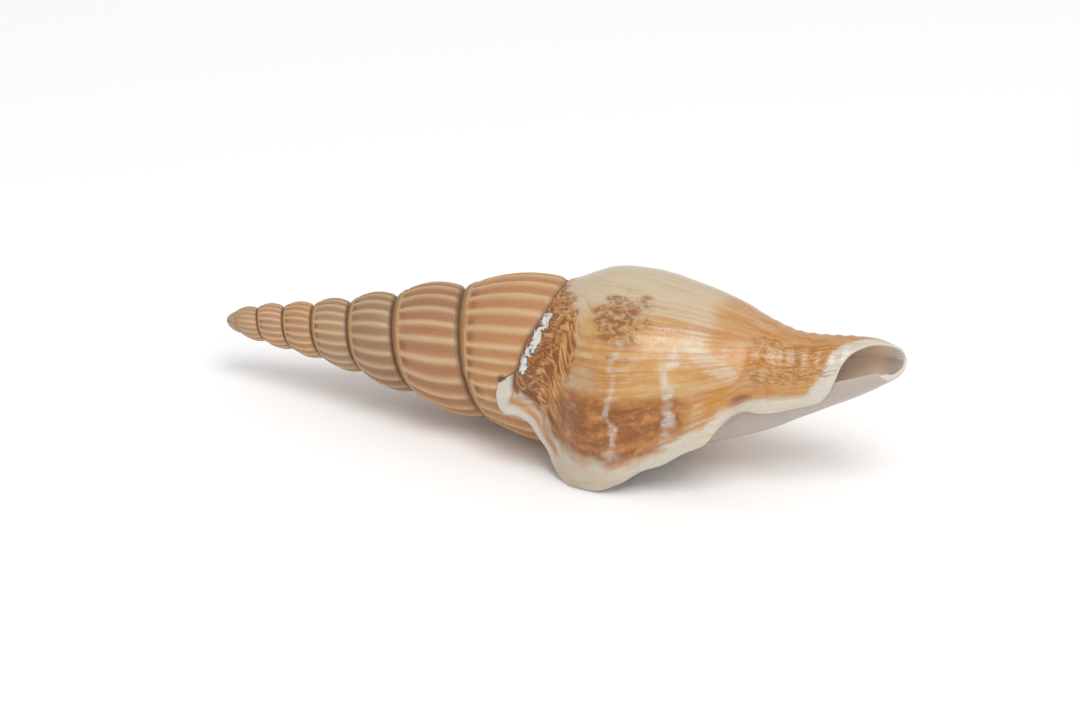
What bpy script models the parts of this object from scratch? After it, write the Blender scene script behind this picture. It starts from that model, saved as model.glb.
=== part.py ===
"""Shell of a slender conch, about 90 mm long, grown in one piece.

The shell is a tube that coils round an axis. Its skin is one long strip: columns stand at even steps
of the growth angle, and each column runs from the seam with the whorl behind it to the seam with the
whorl in front. The last whorl has no whorl in front, so its columns run on to the end of the canal.
Inside the last half turn a wall and a core leave the mouth and the canal open.

Lengths in the tables are in millimetres, on the shell's own axis: x from the tip of the spire to the
end of the canal, radius from the axis. Angles grow the way the shell grew. Angle 0 faces the lip side,
90 the underside, -90 the top, and the shell ends a little past angle 0 at the outer lip.
"""

import math

import bmesh
import bpy
import numpy as np
from mathutils import Matrix, Vector

NODE = "shell"
MM = 0.001

# Driving dimensions
LENGTH = 90.0 * MM          # tip of the spire to the end of the canal, along the axis
TABLE_LENGTH = 90.0         # the same length in the tables below
WALL = 1.3                  # thickness of the body whorl's wall
LIP_THICKNESS = 2.3         # thickness of the outer lip
REST_PITCH = 3.6            # degrees the canal end is lifted as the shell lies on its mouth side
REST_ROLL = 0.8             # degrees it leans toward the lip
WORN_FLAT = 0.25            # depth that wear has taken off where the shell lies

# How fine the faceted skin is
COLUMNS_PER_TURN = 40
SEAM_ROWS = 6               # rows across a whorl of the spire
BODY_ROWS = 24              # further rows on the last whorl, from the covered seam to the canal's rim
EDGE_STEPS = 3              # facets round the thickness of the lip and the canal's rim

# Growth: whorl number (0 at the lip, one less for each turn back) against the seam's place
FIRST_WHORL = -8
SEAM_PLACE = ((-9, -0.30), (-8, 0.10), (-7, 1.72), (-6, 5.06), (-5, 8.87), (-4, 13.2), (-3, 18.7), (-2, 25.6),
              (-1, 35.7), (-0.75, 38.4), (-0.5, 41.9), (-0.4, 44.0), (-0.325, 45.8), (-0.25, 46.8),
              (-0.19, 46.45), (-0.13, 45.4), (-0.1, 44.6), (-0.063, 44.0), (-0.035, 43.6), (-0.015, 42.2), (0, 40.9))
SEAM_RADIUS = ((0, 0.70), (0.6, 1.05), (2.5, 1.62), (8, 2.42), (16, 3.7), (26, 5.96), (36, 8.08),
               (40.9, 9.05), (46.8, 9.8))
WHORL_BULGE = ((-6, 0.135), (-3, 0.135), (-1, 0.075))   # height of a whorl's swelling over its length

# The canal bends off the axis, toward the back of the top
BEND_ANGLE = -117.0
BEND = ((56, 0), (60, 0.05), (65, 0.2), (70, 0.5), (74, 0.7), (76.5, 0.95), (79, 1.4), (81.6, 2.1),
        (84, 2.7), (87, 3.4), (90, 3.8))

# Where the canal's rim is cut, by growth angle
RIM = ((-360, 87.2), (-330, 88.0), (-300, 88.6), (-270, 89.1), (-240, 89.5), (-210, 89.6), (-180, 89.6),
       (-150, 89.4), (-120, 88.8), (-96, 87.6), (-77, 85.6), (-61, 84.0), (-45, 83.1), (-25, 82.5),
       (-10, 81.7), (0, 80.8))

# Outline of the last whorl (place, radius) at five growth angles, before the lip flares
SHOULDER = 70.0             # forward of this the outlines share one place scale
FRONT = 91.0
CANAL_OUTLINE = ((74.2, 6.6), (77.4, 5.4), (80, 4.75), (83.8, 3.95), (86.4, 3.2), (88.2, 2.4), (89.7, 1.7))
OUTLINES = {
    -360: ((40.9, 9.05), (42.2, 9.3), (44, 9.65), (47, 10.05), (52, 10.0), (56, 9.2), (60, 7.9), (65, 6.3),
           (70, 5.3), (74.2, 4.9), (77.4, 4.5), (80, 4.2), (83.8, 3.7), (86.4, 3.1), (88.2, 2.4), (89.7, 1.7)),
    -297: ((38.2, 8.9), (39.5, 9.5), (41, 10.0), (42.5, 10.55), (44.4, 10.9), (46.5, 11.05), (50, 11.15),
           (55, 10.9), (60, 10.2), (66, 8.85), (70, 7.95)) + CANAL_OUTLINE,
    -207: ((43.2, 9.9), (45, 10.6), (47, 11.3), (50, 11.8), (54, 12.0), (58, 11.8), (62, 11.0), (66, 9.7),
           (70, 8.1)) + CANAL_OUTLINE,
    -117: ((47.3, 10.1), (49.8, 11.15), (52.3, 11.95), (55, 12.25), (57.6, 12.15), (60.3, 11.75), (63, 11.0),
           (65.7, 10.2), (68.4, 9.1), (71.1, 7.75), (73.8, 6.5), (76.5, 5.45), (79, 4.85), (81.6, 4.25),
           (84.1, 3.75), (86.6, 3.1), (88.2, 2.4), (89.7, 1.7)),
    -27: ((46, 10.6), (48, 11.7), (50, 12.7), (53, 13.6), (56, 13.8), (60, 13.2), (64, 11.9), (67, 10.6),
          (70, 9.1), (73, 7.7), (76, 6.5), (79, 5.7), (82, 5.1), (85, 4.3), (88.2, 2.9), (89.7, 2.0)),
}

# The outer lip's edge: place, angle and radius about the axis
FLARE_START = -75.0
LIP_EDGE = ((40.9, 0, 9.05), (41.0, 6, 10.1), (41.3, 10, 10.5), (41.9, 14, 10.8), (42.9, 14.2, 11.3),
            (44.0, 14.4, 11.6), (45.2, 16.5, 11.9), (46.0, 21, 12.0), (46.4, 28, 12.15), (46.9, 33, 12.4),
            (47.5, 37, 12.9), (48.6, 38.5, 14.6), (49.7, 39, 15.95), (51.7, 39.5, 17.3), (54.9, 38, 17.6),
            (58.0, 36, 16.5), (60.6, 34, 14.7), (63.1, 32, 13.7), (65.7, 28, 12.2), (68.4, 22, 11.2),
            (69.9, 14, 9.7), (70.6, 13, 8.2), (71.6, 14, 6.7), (73.7, 18, 5.6), (76.0, 18, 5.0),
            (78.5, 14, 4.5), (80.0, 9, 3.9), (80.8, 5, 3.7))

# The hollow inside the last half turn
CORE_SHRINK = 0.30          # how much thinner the core gets away from the mouth
MOUTH_CORNER = (1.3, 0.45)  # the hollow's back corner, forward of and below the seam
CREVICE = 0.5               # least gap between the wall and what it closes over
THIN_WALL = 0.35            # least thickness of the wall
ROW_SPREAD = 1.2            # above 1, the last whorl's rows crowd toward the seam
CORE_TO_CANAL = 0.40        # share of the core's length where it starts to become the canal's floor


def smooth(value):
    """Ease from 0 to 1."""
    value = np.clip(value, 0.0, 1.0)
    return value * value * (3.0 - 2.0 * value)


def curve_through(points):
    """A smooth curve through the points that never overshoots them (Fritsch and Carlson's slopes)."""
    place, height = np.array(points, float).T
    step = np.diff(place)
    slope = np.diff(height) / step
    tangent = np.empty_like(height)
    tangent[0], tangent[-1] = slope[0], slope[-1]
    for i in range(1, len(place) - 1):
        if slope[i - 1] * slope[i] <= 0:
            tangent[i] = 0.0
        else:
            before, after = 2 * step[i] + step[i - 1], step[i] + 2 * step[i - 1]
            tangent[i] = (before + after) / (before / slope[i - 1] + after / slope[i])

    def curve(x):
        x = np.asarray(x, float)
        i = np.clip(np.searchsorted(place, x, side="right") - 1, 0, len(step) - 1)
        t = np.clip((x - place[i]) / step[i], 0.0, 1.0)
        inside = ((2 * t**3 - 3 * t**2 + 1) * height[i] + (t**3 - 2 * t**2 + t) * step[i] * tangent[i]
                  + (3 * t**2 - 2 * t**3) * height[i + 1] + (t**3 - t**2) * step[i] * tangent[i + 1])
        return inside + np.minimum(x - place[0], 0) * tangent[0] + np.maximum(x - place[-1], 0) * tangent[-1]

    return curve


seam_place = curve_through(SEAM_PLACE)
seam_radius = curve_through(SEAM_RADIUS)
whorl_bulge = curve_through(WHORL_BULGE)
bend_at = curve_through(BEND)
rim_place = curve_through(RIM)
mouth_side = curve_through(OUTLINES[-360])


def axis_offset(x):
    """The bent axis, as its distance to the side and up from the straight one."""
    bend = np.where(x > BEND[0][0], bend_at(x), 0.0)
    angle = math.radians(BEND_ANGLE)
    return -math.cos(angle) * bend, -math.sin(angle) * bend


def place_points(angle, x, radius):
    """Points at a growth angle (degrees), a place along the axis and a radius from it."""
    side, up = axis_offset(x)
    angle = np.radians(angle)
    return np.stack(np.broadcast_arrays(x, side - np.cos(angle) * radius, up - np.sin(angle) * radius), -1)


def spire_radius(whorl, x):
    """Radius of the skin between one seam and the next, with the whorl's swelling."""
    start, end = seam_place(whorl), seam_place(whorl + 1)
    across = (x - start) / (end - start)
    straight = seam_radius(start) + (seam_radius(end) - seam_radius(start)) * across
    return straight + whorl_bulge(whorl) * (end - start) * 4 * across * (1 - across)


def outline_share(seam, x):
    """Place as a share: 0 at the seam, 1 at the shoulder, 2 at the front."""
    return np.where(x < SHOULDER, (x - seam) / (SHOULDER - seam), 1 + (x - SHOULDER) / (FRONT - SHOULDER))


def outline_curves():
    """Each outline of the last whorl as a curve over the share of its length."""
    curves = {}
    for angle, points in OUTLINES.items():
        seam = float(seam_place(angle / 360.0))
        if angle == -360:
            continue
        points = ((seam, float(seam_radius(seam))),) + points
        curves[angle] = curve_through([(float(outline_share(seam, x)), radius) for x, radius in points])

    def first(share, seam=float(seam_place(-1.0)), covered=float(seam_place(0.0))):
        x = np.where(share < 1, seam + share * (SHOULDER - seam), SHOULDER + (share - 1) * (FRONT - SHOULDER))
        return np.where(x < covered, spire_radius(-1.0, np.minimum(x, covered)), mouth_side(np.maximum(x, covered)))

    curves[-360] = first
    return curves


CURVES = outline_curves()


def body_radius(seam, angle, x):
    """Radius of the last whorl before its lip flares, eased from one outline to the next."""
    share = outline_share(seam, x)
    keys = np.array(sorted(CURVES), float)
    values = np.array([CURVES[int(key)](share) for key in keys])
    angle = np.clip(angle, keys[0], keys[-1]) + 0 * share
    i = np.clip(np.searchsorted(keys, angle, side="right") - 1, 0, len(keys) - 2)

    def at(offset):
        index = np.clip(i + offset, 0, len(keys) - 1)
        return keys[index], np.take_along_axis(values, index[None, ...], 0)[0]

    (k0, v0), (k1, v1), (k2, v2), (k3, v3) = at(-1), at(0), at(1), at(2)
    span = k2 - k1
    start_slope = (v2 - v0) / (k2 - k0) * span
    end_slope = (v3 - v1) / (k3 - k1) * span
    t = (angle - k1) / span
    return ((2 * t**3 - 3 * t**2 + 1) * v1 + (t**3 - 2 * t**2 + t) * start_slope
            + (3 * t**2 - 2 * t**3) * v2 + (t**3 - t**2) * end_slope)


def lip_curves():
    """The lip edge's angle and radius about the bent axis, as curves over its place."""
    x, angle, radius = np.array(LIP_EDGE, float).T
    side, up = axis_offset(x)
    y = -np.cos(np.radians(angle)) * radius - side
    z = -np.sin(np.radians(angle)) * radius - up
    return (curve_through(np.stack([x, np.degrees(np.arctan2(-z, -y))], 1)),
            curve_through(np.stack([x, np.hypot(y, z)], 1)))


lip_angle, lip_radius = lip_curves()


def flare_share(angle, x):
    """How far the last whorl has flared toward its lip's edge: 0 before the flare, 1 at the edge."""
    return np.clip((angle - FLARE_START) / (lip_angle(x) - FLARE_START), 0, 1)**2


def skin_radius(angle, x):
    """Outside radius of the last whorl at any growth angle short of the lip."""
    seam = seam_place(np.minimum(angle, 0) / 360)
    at_edge = body_radius(float(seam_place(0)) + 0 * seam, lip_angle(x), x)
    return body_radius(seam, angle, x) + (lip_radius(x) - at_edge) * flare_share(angle, x)


def covered_radius(angle, x):
    """Radius of the start of the last whorl, where its end comes round over it."""
    below = np.maximum(angle - 360, -360.0)
    return body_radius(seam_place(below / 360), below, x)


def mouth_corner(angle):
    """Back corner of the hollow: its place and radius."""
    deep = smooth(-angle / 25)
    seam = seam_place(angle / 360)
    return seam + MOUTH_CORNER[0] * deep, seam_radius(seam) - MOUTH_CORNER[1] * deep


def pillar_radius(angle, x):
    """Radius of the core behind the mouth, kept under the wall where the two come close."""
    corner_x, corner_radius = mouth_corner(np.minimum(angle, 0))
    mouth_end = float(rim_place(-360))
    along = np.clip((x - corner_x) / (mouth_end - corner_x), 0, 1)
    mouth_start = float(seam_place(0))
    depth = smooth(-angle / 150)
    radius = mouth_side(mouth_start + (mouth_end - mouth_start) * along)
    radius = radius * (1 - CORE_SHRINK * depth * smooth(along / 0.15) - 0.10 * depth)
    radius = np.minimum(radius, skin_radius(angle, x) - THIN_WALL - CREVICE)
    leave = smooth(along / 0.04)
    return (1 - leave) * corner_radius + leave * radius


class Skin:
    """Collects points and faces, and joins them where two grids share an edge."""

    def __init__(self):
        self.blocks = []
        self.count = 0
        self.faces = []

    def add(self, points):
        shape = points.shape[:-1]
        self.blocks.append(points.reshape(-1, 3))
        numbers = self.count + np.arange(int(np.prod(shape))).reshape(shape)
        self.count += numbers.size
        return numbers

    def points(self):
        return np.concatenate(self.blocks)

    def grid(self, numbers, flip=False):
        """Quads over a grid of point numbers."""
        quads = np.stack([numbers[:-1, :-1], numbers[1:, :-1], numbers[1:, 1:], numbers[:-1, 1:]], -1)
        quads = quads.reshape(-1, 4)
        self.faces.extend(map(tuple, quads[:, ::-1] if flip else quads))

    def zipper(self, left, right):
        """Triangles between two rows of points of different counts."""
        i = j = 0
        while i < len(left) - 1 or j < len(right) - 1:
            next_left = (i + 1) / (len(left) - 1) if i < len(left) - 1 else 2.0
            next_right = (j + 1) / (len(right) - 1) if j < len(right) - 1 else 2.0
            if next_left <= next_right:
                self.faces.append((left[i], right[j], left[i + 1]))
                i += 1
            else:
                self.faces.append((left[i], right[j], right[j + 1]))
                j += 1


def rounded_edge(skin, outer, inner, direction):
    """Rows that round the thickness between an outer and an inner edge."""
    points = skin.points()
    middle = (points[outer] + points[inner]) / 2
    half = (points[outer] - points[inner]) / 2
    reach = np.linalg.norm(half, axis=1, keepdims=True)
    rows = [outer]
    for step in range(1, EDGE_STEPS):
        turn = math.pi * step / EDGE_STEPS
        row = skin.add(middle + half * math.cos(turn) + direction * reach * math.sin(turn))
        rows.append(np.where(outer == inner, outer, row))
    rows.append(inner)
    return np.array(rows)


def unit(vectors):
    return vectors / np.maximum(np.linalg.norm(vectors, axis=-1, keepdims=True), 1e-9)


def row_shares():
    """How far along its column each row lies: on the spire, and on the first and last body columns."""
    even = np.linspace(0, 1, SEAM_ROWS + 1)
    across = even - 0.08 * np.sin(2 * math.pi * even)       # closer together near the seams
    start, covered, end = float(seam_place(-1)), float(seam_place(0)), float(rim_place(-360))
    split = (covered - start) / (end - start)
    onward = np.linspace(0, 1, BODY_ROWS + 1)[1:]
    first = np.concatenate([split * across, split + (1 - split) * onward])
    return across, first, np.linspace(0, 1, SEAM_ROWS + BODY_ROWS + 1)


def build_skin():
    """The closed skin of the shell: outside, lip, wall and core of the hollow, and the blunt tip."""
    skin = Skin()
    across, first_share, share = row_shares()
    turn, half_turn, last_row = COLUMNS_PER_TURN, COLUMNS_PER_TURN // 2, SEAM_ROWS + BODY_ROWS

    # Spire
    spire_columns = (-1 - FIRST_WHORL) * turn
    whorl = (FIRST_WHORL + np.arange(spire_columns) / turn)[:, None]
    start, end = seam_place(whorl), seam_place(whorl + 1)
    x = start + (end - start) * across[None, :SEAM_ROWS]
    spire = skin.add(place_points(whorl * 360, x, spire_radius(whorl, x)))

    # Last whorl; past half a turn its columns lean forward to meet the lip's edge
    column = (-360 + 360 * np.arange(turn + 1) / turn)[:, None]
    seam, rim = seam_place(column / 360), rim_place(column)
    lip_share = share**ROW_SPREAD
    ease = smooth((column + 360) / 150)
    x = seam + (rim - seam) * (first_share * (1 - ease) + lip_share * ease)
    edge_angle, edge_radius = lip_angle(x[-1]), lip_radius(x[-1])
    angle = np.where(column <= -180, column, -180 + (edge_angle + 180) * (column + 180) / 180)
    flare = np.clip((angle - FLARE_START) / (edge_angle - FLARE_START), 0, 1)**2
    radius = body_radius(seam, angle, x)
    radius = radius + (edge_radius - body_radius(seam[-1:], edge_angle[None, :], x[-1:])) * flare
    least = covered_radius(angle, x) + (CREVICE + THIN_WALL) * smooth(share / 0.03)
    radius = radius + np.maximum(least - radius, 0) * smooth((angle + 25) / 25)
    radius[:, 0] = seam_radius(seam[:, 0])
    radius[0, :SEAM_ROWS + 1] = spire_radius(-1.0, x[0, :SEAM_ROWS + 1])
    body_points = place_points(angle, x, radius)
    body = skin.add(body_points)
    body[0, SEAM_ROWS] = body[turn, 0]

    # Each column of the spire ends on the seam, one turn further on
    strip = np.empty((spire_columns + 1, SEAM_ROWS + 1), int)
    strip[:spire_columns, :SEAM_ROWS] = spire
    strip[spire_columns] = body[0, :SEAM_ROWS + 1]
    seam_line = np.concatenate([spire[:, 0], body[:, 0]])
    strip[:, SEAM_ROWS] = seam_line[turn:]
    skin.grid(strip)
    skin.grid(body)

    # Inside of the outer wall, over the last half turn
    late = column[half_turn:]
    corner_x, corner_radius = mouth_corner(late)
    wall_x = corner_x + (rim[half_turn:] - corner_x) * lip_share
    outer_columns = x[half_turn:], radius[half_turn:], angle[half_turn:]
    outside = np.array([np.interp(a, b, c) for a, b, c in zip(wall_x, outer_columns[0], outer_columns[1])])
    wall_angle = np.array([np.interp(a, b, c) for a, b, c in zip(wall_x, outer_columns[0], outer_columns[2])])
    wall_angle = late + (wall_angle - late) * smooth(share / 0.05)
    wall_x[-1], wall_angle[-1], outside[-1] = x[-1], angle[-1], radius[-1]
    thickness = WALL + (LIP_THICKNESS - WALL) * smooth((wall_angle + 60) / 90)
    thickness = thickness * (1 - 0.35 * smooth((wall_x - 72) / 14))
    leave = smooth(share / 0.10)
    leave = np.where(late < 0, leave, smooth(share / 0.02))
    wall_radius = (1 - leave) * corner_radius + leave * (outside - thickness)
    below = np.where(wall_angle > 0, covered_radius(wall_angle, wall_x), pillar_radius(wall_angle, wall_x))
    wall_radius = np.maximum(wall_radius, below + CREVICE * smooth(share / 0.02))
    wall_radius[:, 0] = corner_radius[:, 0]
    wall = skin.add(place_points(wall_angle, wall_x, wall_radius))
    wall[-1, 0] = body[turn, 0]
    skin.grid(wall, flip=True)

    # Core of the hollow: the pillar behind the mouth, which opens into the canal's floor
    back = -column[:half_turn + 1] - 360
    along = np.linspace(0, 1, BODY_ROWS + 1)
    corner_x, corner_radius = mouth_corner(back)
    pillar_x = corner_x + (float(rim_place(-360)) - corner_x) * along
    pillar = np.where(back == 0, mouth_side(pillar_x), pillar_radius(back, pillar_x))
    pillar[:, 0] = corner_radius[:, 0]
    pillar_points = place_points(back, pillar_x, pillar)
    floor_x, floor_radius = x[:half_turn + 1, SEAM_ROWS:], radius[:half_turn + 1, SEAM_ROWS:]
    floor_wall = WALL * (1 - 0.35 * smooth((floor_x - 72) / 14)) * smooth(-back / 30)
    floor_points = place_points(column[:half_turn + 1], floor_x, floor_radius - floor_wall)
    into_floor = smooth((along - CORE_TO_CANAL) / (1 - CORE_TO_CANAL))[:, None]
    core = skin.add(pillar_points * (1 - into_floor) + floor_points * into_floor)
    core[0] = body[0, SEAM_ROWS:]
    core[:, 0] = wall[::-1, 0]
    core[half_turn, BODY_ROWS] = wall[0, last_row]
    skin.grid(core, flip=True)
    skin.zipper(wall[0], core[half_turn])

    # Rounded edges of the lip and of the canal's rim, which share their last row
    points = skin.points()
    rim_way = unit(points[body[:, -1]] - points[body[:, -2]])
    lip_way = unit(points[body[-1]] - points[body[-2]])
    corner_way = unit(rim_way[-1] + lip_way[-1])
    near_corner = smooth((np.arange(turn + 1) / turn - 0.93) / 0.07)[:, None]
    rim_way = unit(rim_way * (1 - near_corner) + corner_way * near_corner)
    near_corner = smooth((share - 0.95) / 0.05)[:, None]
    lip_way = unit(lip_way * (1 - near_corner) + corner_way * near_corner)
    lip = rounded_edge(skin, body[-1], wall[-1], lip_way)
    inner_rim = np.concatenate([core[:half_turn, -1], wall[:, -1]])
    rim_rows = rounded_edge(skin, body[:, -1], inner_rim, rim_way)
    rim_rows[:, -1] = lip[:, -1]
    skin.grid(lip)
    skin.grid(rim_rows, flip=True)

    # Blunt tip of the spire
    loop = np.concatenate([strip[:turn + 1, 0], strip[0, SEAM_ROWS - 1:0:-1]])
    points = skin.points()[loop]
    tip = np.array([points[:, 0].min() - 0.25, 0.0, 0.0])
    rings = [loop]
    for inward, forward in ((0.35, 0.50), (0.70, 0.82)):
        ring = points * (1 - inward)
        ring[:, 0] = points[:, 0] + (tip[0] - points[:, 0]) * forward
        rings.append(skin.add(ring))
    rings.append(np.repeat(skin.add(tip[None, :]), len(loop)))
    rings = np.array(rings)
    skin.grid(np.concatenate([rings, rings[:, :1]], 1))
    return skin


def tidy_face(face):
    """A face without the corners that fell together."""
    corners = [number for i, number in enumerate(face) if number != face[i - 1]]
    return corners if len(corners) > 2 and len(set(corners)) == len(corners) else None


def build_mesh():
    skin = build_skin()
    mesh = bmesh.new()
    scale = LENGTH / TABLE_LENGTH
    used = sorted({number for face in skin.faces for number in face})
    points = skin.points()
    verts = {number: mesh.verts.new(Vector(points[number]) * scale) for number in used}
    for face in skin.faces:
        corners = tidy_face(face)
        if corners:
            mesh.faces.new([verts[number] for number in corners])
    bmesh.ops.delete(mesh, geom=[v for v in mesh.verts if not v.link_faces], context="VERTS")
    return mesh


def settle(mesh):
    """Turn the shell to lie as it comes to rest, and wear it flat where it touches."""
    turn = Matrix.Rotation(math.radians(REST_ROLL), 4, "X") @ Matrix.Rotation(math.radians(-REST_PITCH), 4, "Y")
    bmesh.ops.transform(mesh, matrix=turn, verts=mesh.verts)
    ground = min(v.co.z for v in mesh.verts) + WORN_FLAT * MM
    cut = bmesh.ops.bisect_plane(mesh, geom=mesh.verts[:] + mesh.edges[:] + mesh.faces[:], dist=1e-7,
                                 plane_co=(0, 0, ground), plane_no=(0, 0, 1), clear_inner=True)
    bmesh.ops.holes_fill(mesh, edges=[e for e in cut["geom_cut"] if isinstance(e, bmesh.types.BMEdge)])
    low = Vector([min(v.co[i] for v in mesh.verts) for i in range(3)])
    high = Vector([max(v.co[i] for v in mesh.verts) for i in range(3)])
    middle = (low + high) / 2
    bmesh.ops.translate(mesh, vec=(-middle.x, -middle.y, -low.z), verts=mesh.verts)


def shell_material():
    material = bpy.data.materials.new("shell_orange_brown")
    material.use_nodes = True
    shader = material.node_tree.nodes["Principled BSDF"]
    shader.inputs["Base Color"].default_value = (0.58, 0.33, 0.15, 1.0)
    shader.inputs["Roughness"].default_value = 0.4
    shader.inputs["Metallic"].default_value = 0.0
    return material


def main():
    for thing in list(bpy.data.objects):
        bpy.data.objects.remove(thing, do_unlink=True)
    collection = bpy.data.collections.new("conch_shell")
    bpy.context.scene.collection.children.link(collection)
    mesh = build_mesh()
    settle(mesh)
    data = bpy.data.meshes.new(NODE)
    mesh.to_mesh(data)
    mesh.free()
    data.materials.append(shell_material())
    shell = bpy.data.objects.new(NODE, data)
    collection.objects.link(shell)


main()
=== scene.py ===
"""Looks of the conch shell: one fine mesh of the same grown form, with its ribs, cord and worn lip."""

import math

import bpy
import numpy as np
from mathutils import Matrix, Vector


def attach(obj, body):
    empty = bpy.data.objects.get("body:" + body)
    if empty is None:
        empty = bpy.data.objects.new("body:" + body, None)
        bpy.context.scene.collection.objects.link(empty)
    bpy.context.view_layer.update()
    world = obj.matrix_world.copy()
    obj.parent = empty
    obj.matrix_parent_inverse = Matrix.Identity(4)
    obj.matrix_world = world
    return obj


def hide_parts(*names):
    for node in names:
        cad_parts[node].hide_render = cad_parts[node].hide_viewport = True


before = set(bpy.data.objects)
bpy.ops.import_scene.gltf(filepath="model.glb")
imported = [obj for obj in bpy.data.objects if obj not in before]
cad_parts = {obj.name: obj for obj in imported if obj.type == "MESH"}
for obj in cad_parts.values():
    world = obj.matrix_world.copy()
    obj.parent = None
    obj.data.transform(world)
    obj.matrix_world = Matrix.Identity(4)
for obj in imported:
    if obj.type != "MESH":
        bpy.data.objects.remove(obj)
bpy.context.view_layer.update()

MM = 0.001

# Driving dimensions, repeated from the CAD model. Lengths are in millimetres, along an axis 90 mm long
WALL = 1.3                  # thickness of the body whorl's wall
LIP_THICKNESS = 2.3         # thickness of the outer lip
REST_PITCH = 3.6            # degrees the canal end is lifted as the shell lies on its mouth side
REST_ROLL = 0.8             # degrees it leans toward the lip

# How fine the skin is
COLUMNS_PER_TURN = 216
SEAM_ROWS = 24              # rows across a whorl of the spire
BODY_ROWS = 88              # further rows on the last whorl, from the covered seam to the canal's rim
EDGE_STEPS = 8              # steps round the thickness of the lip and the canal's rim
SETTLED = (-44.7168, 1.7947, 8.1183)    # moves the turned shell to where it rests

# Rings of the blunt tip: how far each one closes in, and how far it reaches forward, as shares
TIP_RINGS = ((0.14, 0.24), (0.36, 0.55), (0.56, 0.80), (0.76, 0.94), (0.90, 0.985))

# Growth: whorl number (0 at the lip, one less for each turn back) against the seam's place.
# The spire's places and radii and its bulge are rounded results of a least-squares fit to the
# photograph's outline. The outlines, lip edge and marks below come mostly from points picked in the
# photograph and turned into angle, place and radius by scratch scripts, then adjusted by hand.
FIRST_WHORL = -8
SEAM_PLACE = ((-9, -0.30), (-8, 0.10), (-7, 1.72), (-6, 5.06), (-5, 8.87), (-4, 13.2), (-3, 18.7), (-2, 25.6),
              (-1, 35.7), (-0.75, 38.4), (-0.5, 41.9), (-0.4, 44.0), (-0.325, 45.8), (-0.25, 46.8),
              (-0.19, 46.45), (-0.13, 45.4), (-0.1, 44.6), (-0.063, 44.0), (-0.035, 43.6), (-0.015, 42.2),
              (0, 40.9))
SEAM_RADIUS = ((0, 0.70), (0.6, 1.05), (2.5, 1.62), (8, 2.42), (16, 3.7), (26, 5.96), (36, 8.08),
               (40.9, 9.05), (46.8, 9.8))
WHORL_BULGE = ((-6, 0.135), (-3, 0.135), (-1, 0.075))   # height of a whorl's swelling over its length

# The canal bends off the axis, toward the back of the top
BEND_ANGLE = -117.0
BEND = ((56, 0), (60, 0.05), (65, 0.2), (70, 0.5), (74, 0.7), (76.5, 0.95), (79, 1.4), (81.6, 2.1),
        (84, 2.7), (87, 3.4), (90, 3.8))

# Where the canal's rim is cut, by growth angle
RIM = ((-360, 87.2), (-330, 88.0), (-300, 88.6), (-270, 89.1), (-240, 89.5), (-210, 89.6), (-180, 89.6),
       (-150, 89.4), (-120, 88.8), (-96, 87.6), (-77, 85.6), (-61, 84.0), (-45, 83.1), (-25, 82.5),
       (-10, 81.7), (0, 80.8))

# Outline of the last whorl (place, radius) at five growth angles, before the lip flares
SHOULDER = 70.0             # forward of this the outlines share one place scale
FRONT = 91.0
CANAL_OUTLINE = ((74.2, 6.6), (77.4, 5.4), (80, 4.75), (83.8, 3.95), (86.4, 3.2), (88.2, 2.4), (89.7, 1.7))
OUTLINES = {
    -360: ((40.9, 9.05), (42.2, 9.3), (44, 9.65), (47, 10.05), (52, 10.0), (56, 9.2), (60, 7.9), (65, 6.3),
           (70, 5.3), (74.2, 4.9), (77.4, 4.5), (80, 4.2), (83.8, 3.7), (86.4, 3.1), (88.2, 2.4),
           (89.7, 1.7)),
    -297: ((38.2, 8.9), (39.5, 9.5), (41, 10.0), (42.5, 10.55), (44.4, 10.9), (46.5, 11.05), (50, 11.15),
           (55, 10.9), (60, 10.2), (66, 8.85), (70, 7.95)) + CANAL_OUTLINE,
    -207: ((43.2, 9.9), (45, 10.6), (47, 11.3), (50, 11.8), (54, 12.0), (58, 11.8), (62, 11.0), (66, 9.7),
           (70, 8.1)) + CANAL_OUTLINE,
    -117: ((47.3, 10.1), (49.8, 11.15), (52.3, 11.95), (55, 12.25), (57.6, 12.15), (60.3, 11.75), (63, 11.0),
           (65.7, 10.2), (68.4, 9.1), (71.1, 7.75), (73.8, 6.5), (76.5, 5.45), (79, 4.85), (81.6, 4.25),
           (84.1, 3.75), (86.6, 3.1), (88.2, 2.4), (89.7, 1.7)),
    -27: ((46, 10.6), (48, 11.7), (50, 12.7), (53, 13.6), (56, 13.8), (60, 13.2), (64, 11.9), (67, 10.6),
          (70, 9.1), (73, 7.7), (76, 6.5), (79, 5.7), (82, 5.1), (85, 4.3), (88.2, 2.9), (89.7, 2.0)),
}

# The outer lip's edge: place, angle and radius about the axis
FLARE_START = -75.0
LIP_EDGE = ((40.9, 0, 9.05), (41.0, 6, 10.1), (41.3, 10, 10.5), (41.9, 14, 10.8), (42.9, 14.2, 11.3),
            (44.0, 14.4, 11.6), (45.2, 16.5, 11.9), (46.0, 21, 12.0), (46.4, 28, 12.15), (46.9, 33, 12.4),
            (47.5, 37, 12.9), (48.6, 38.5, 14.6), (49.7, 39, 15.95), (51.7, 39.5, 17.3), (54.9, 38, 17.6),
            (58.0, 36, 16.5), (60.6, 34, 14.7), (63.1, 32, 13.7), (65.7, 28, 12.2), (68.4, 22, 11.2),
            (69.9, 14, 9.7), (70.6, 13, 8.2), (71.6, 14, 6.7), (73.7, 18, 5.6), (76.0, 18, 5.0),
            (78.5, 14, 4.5), (80.0, 9, 3.9), (80.8, 5, 3.7))

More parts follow.
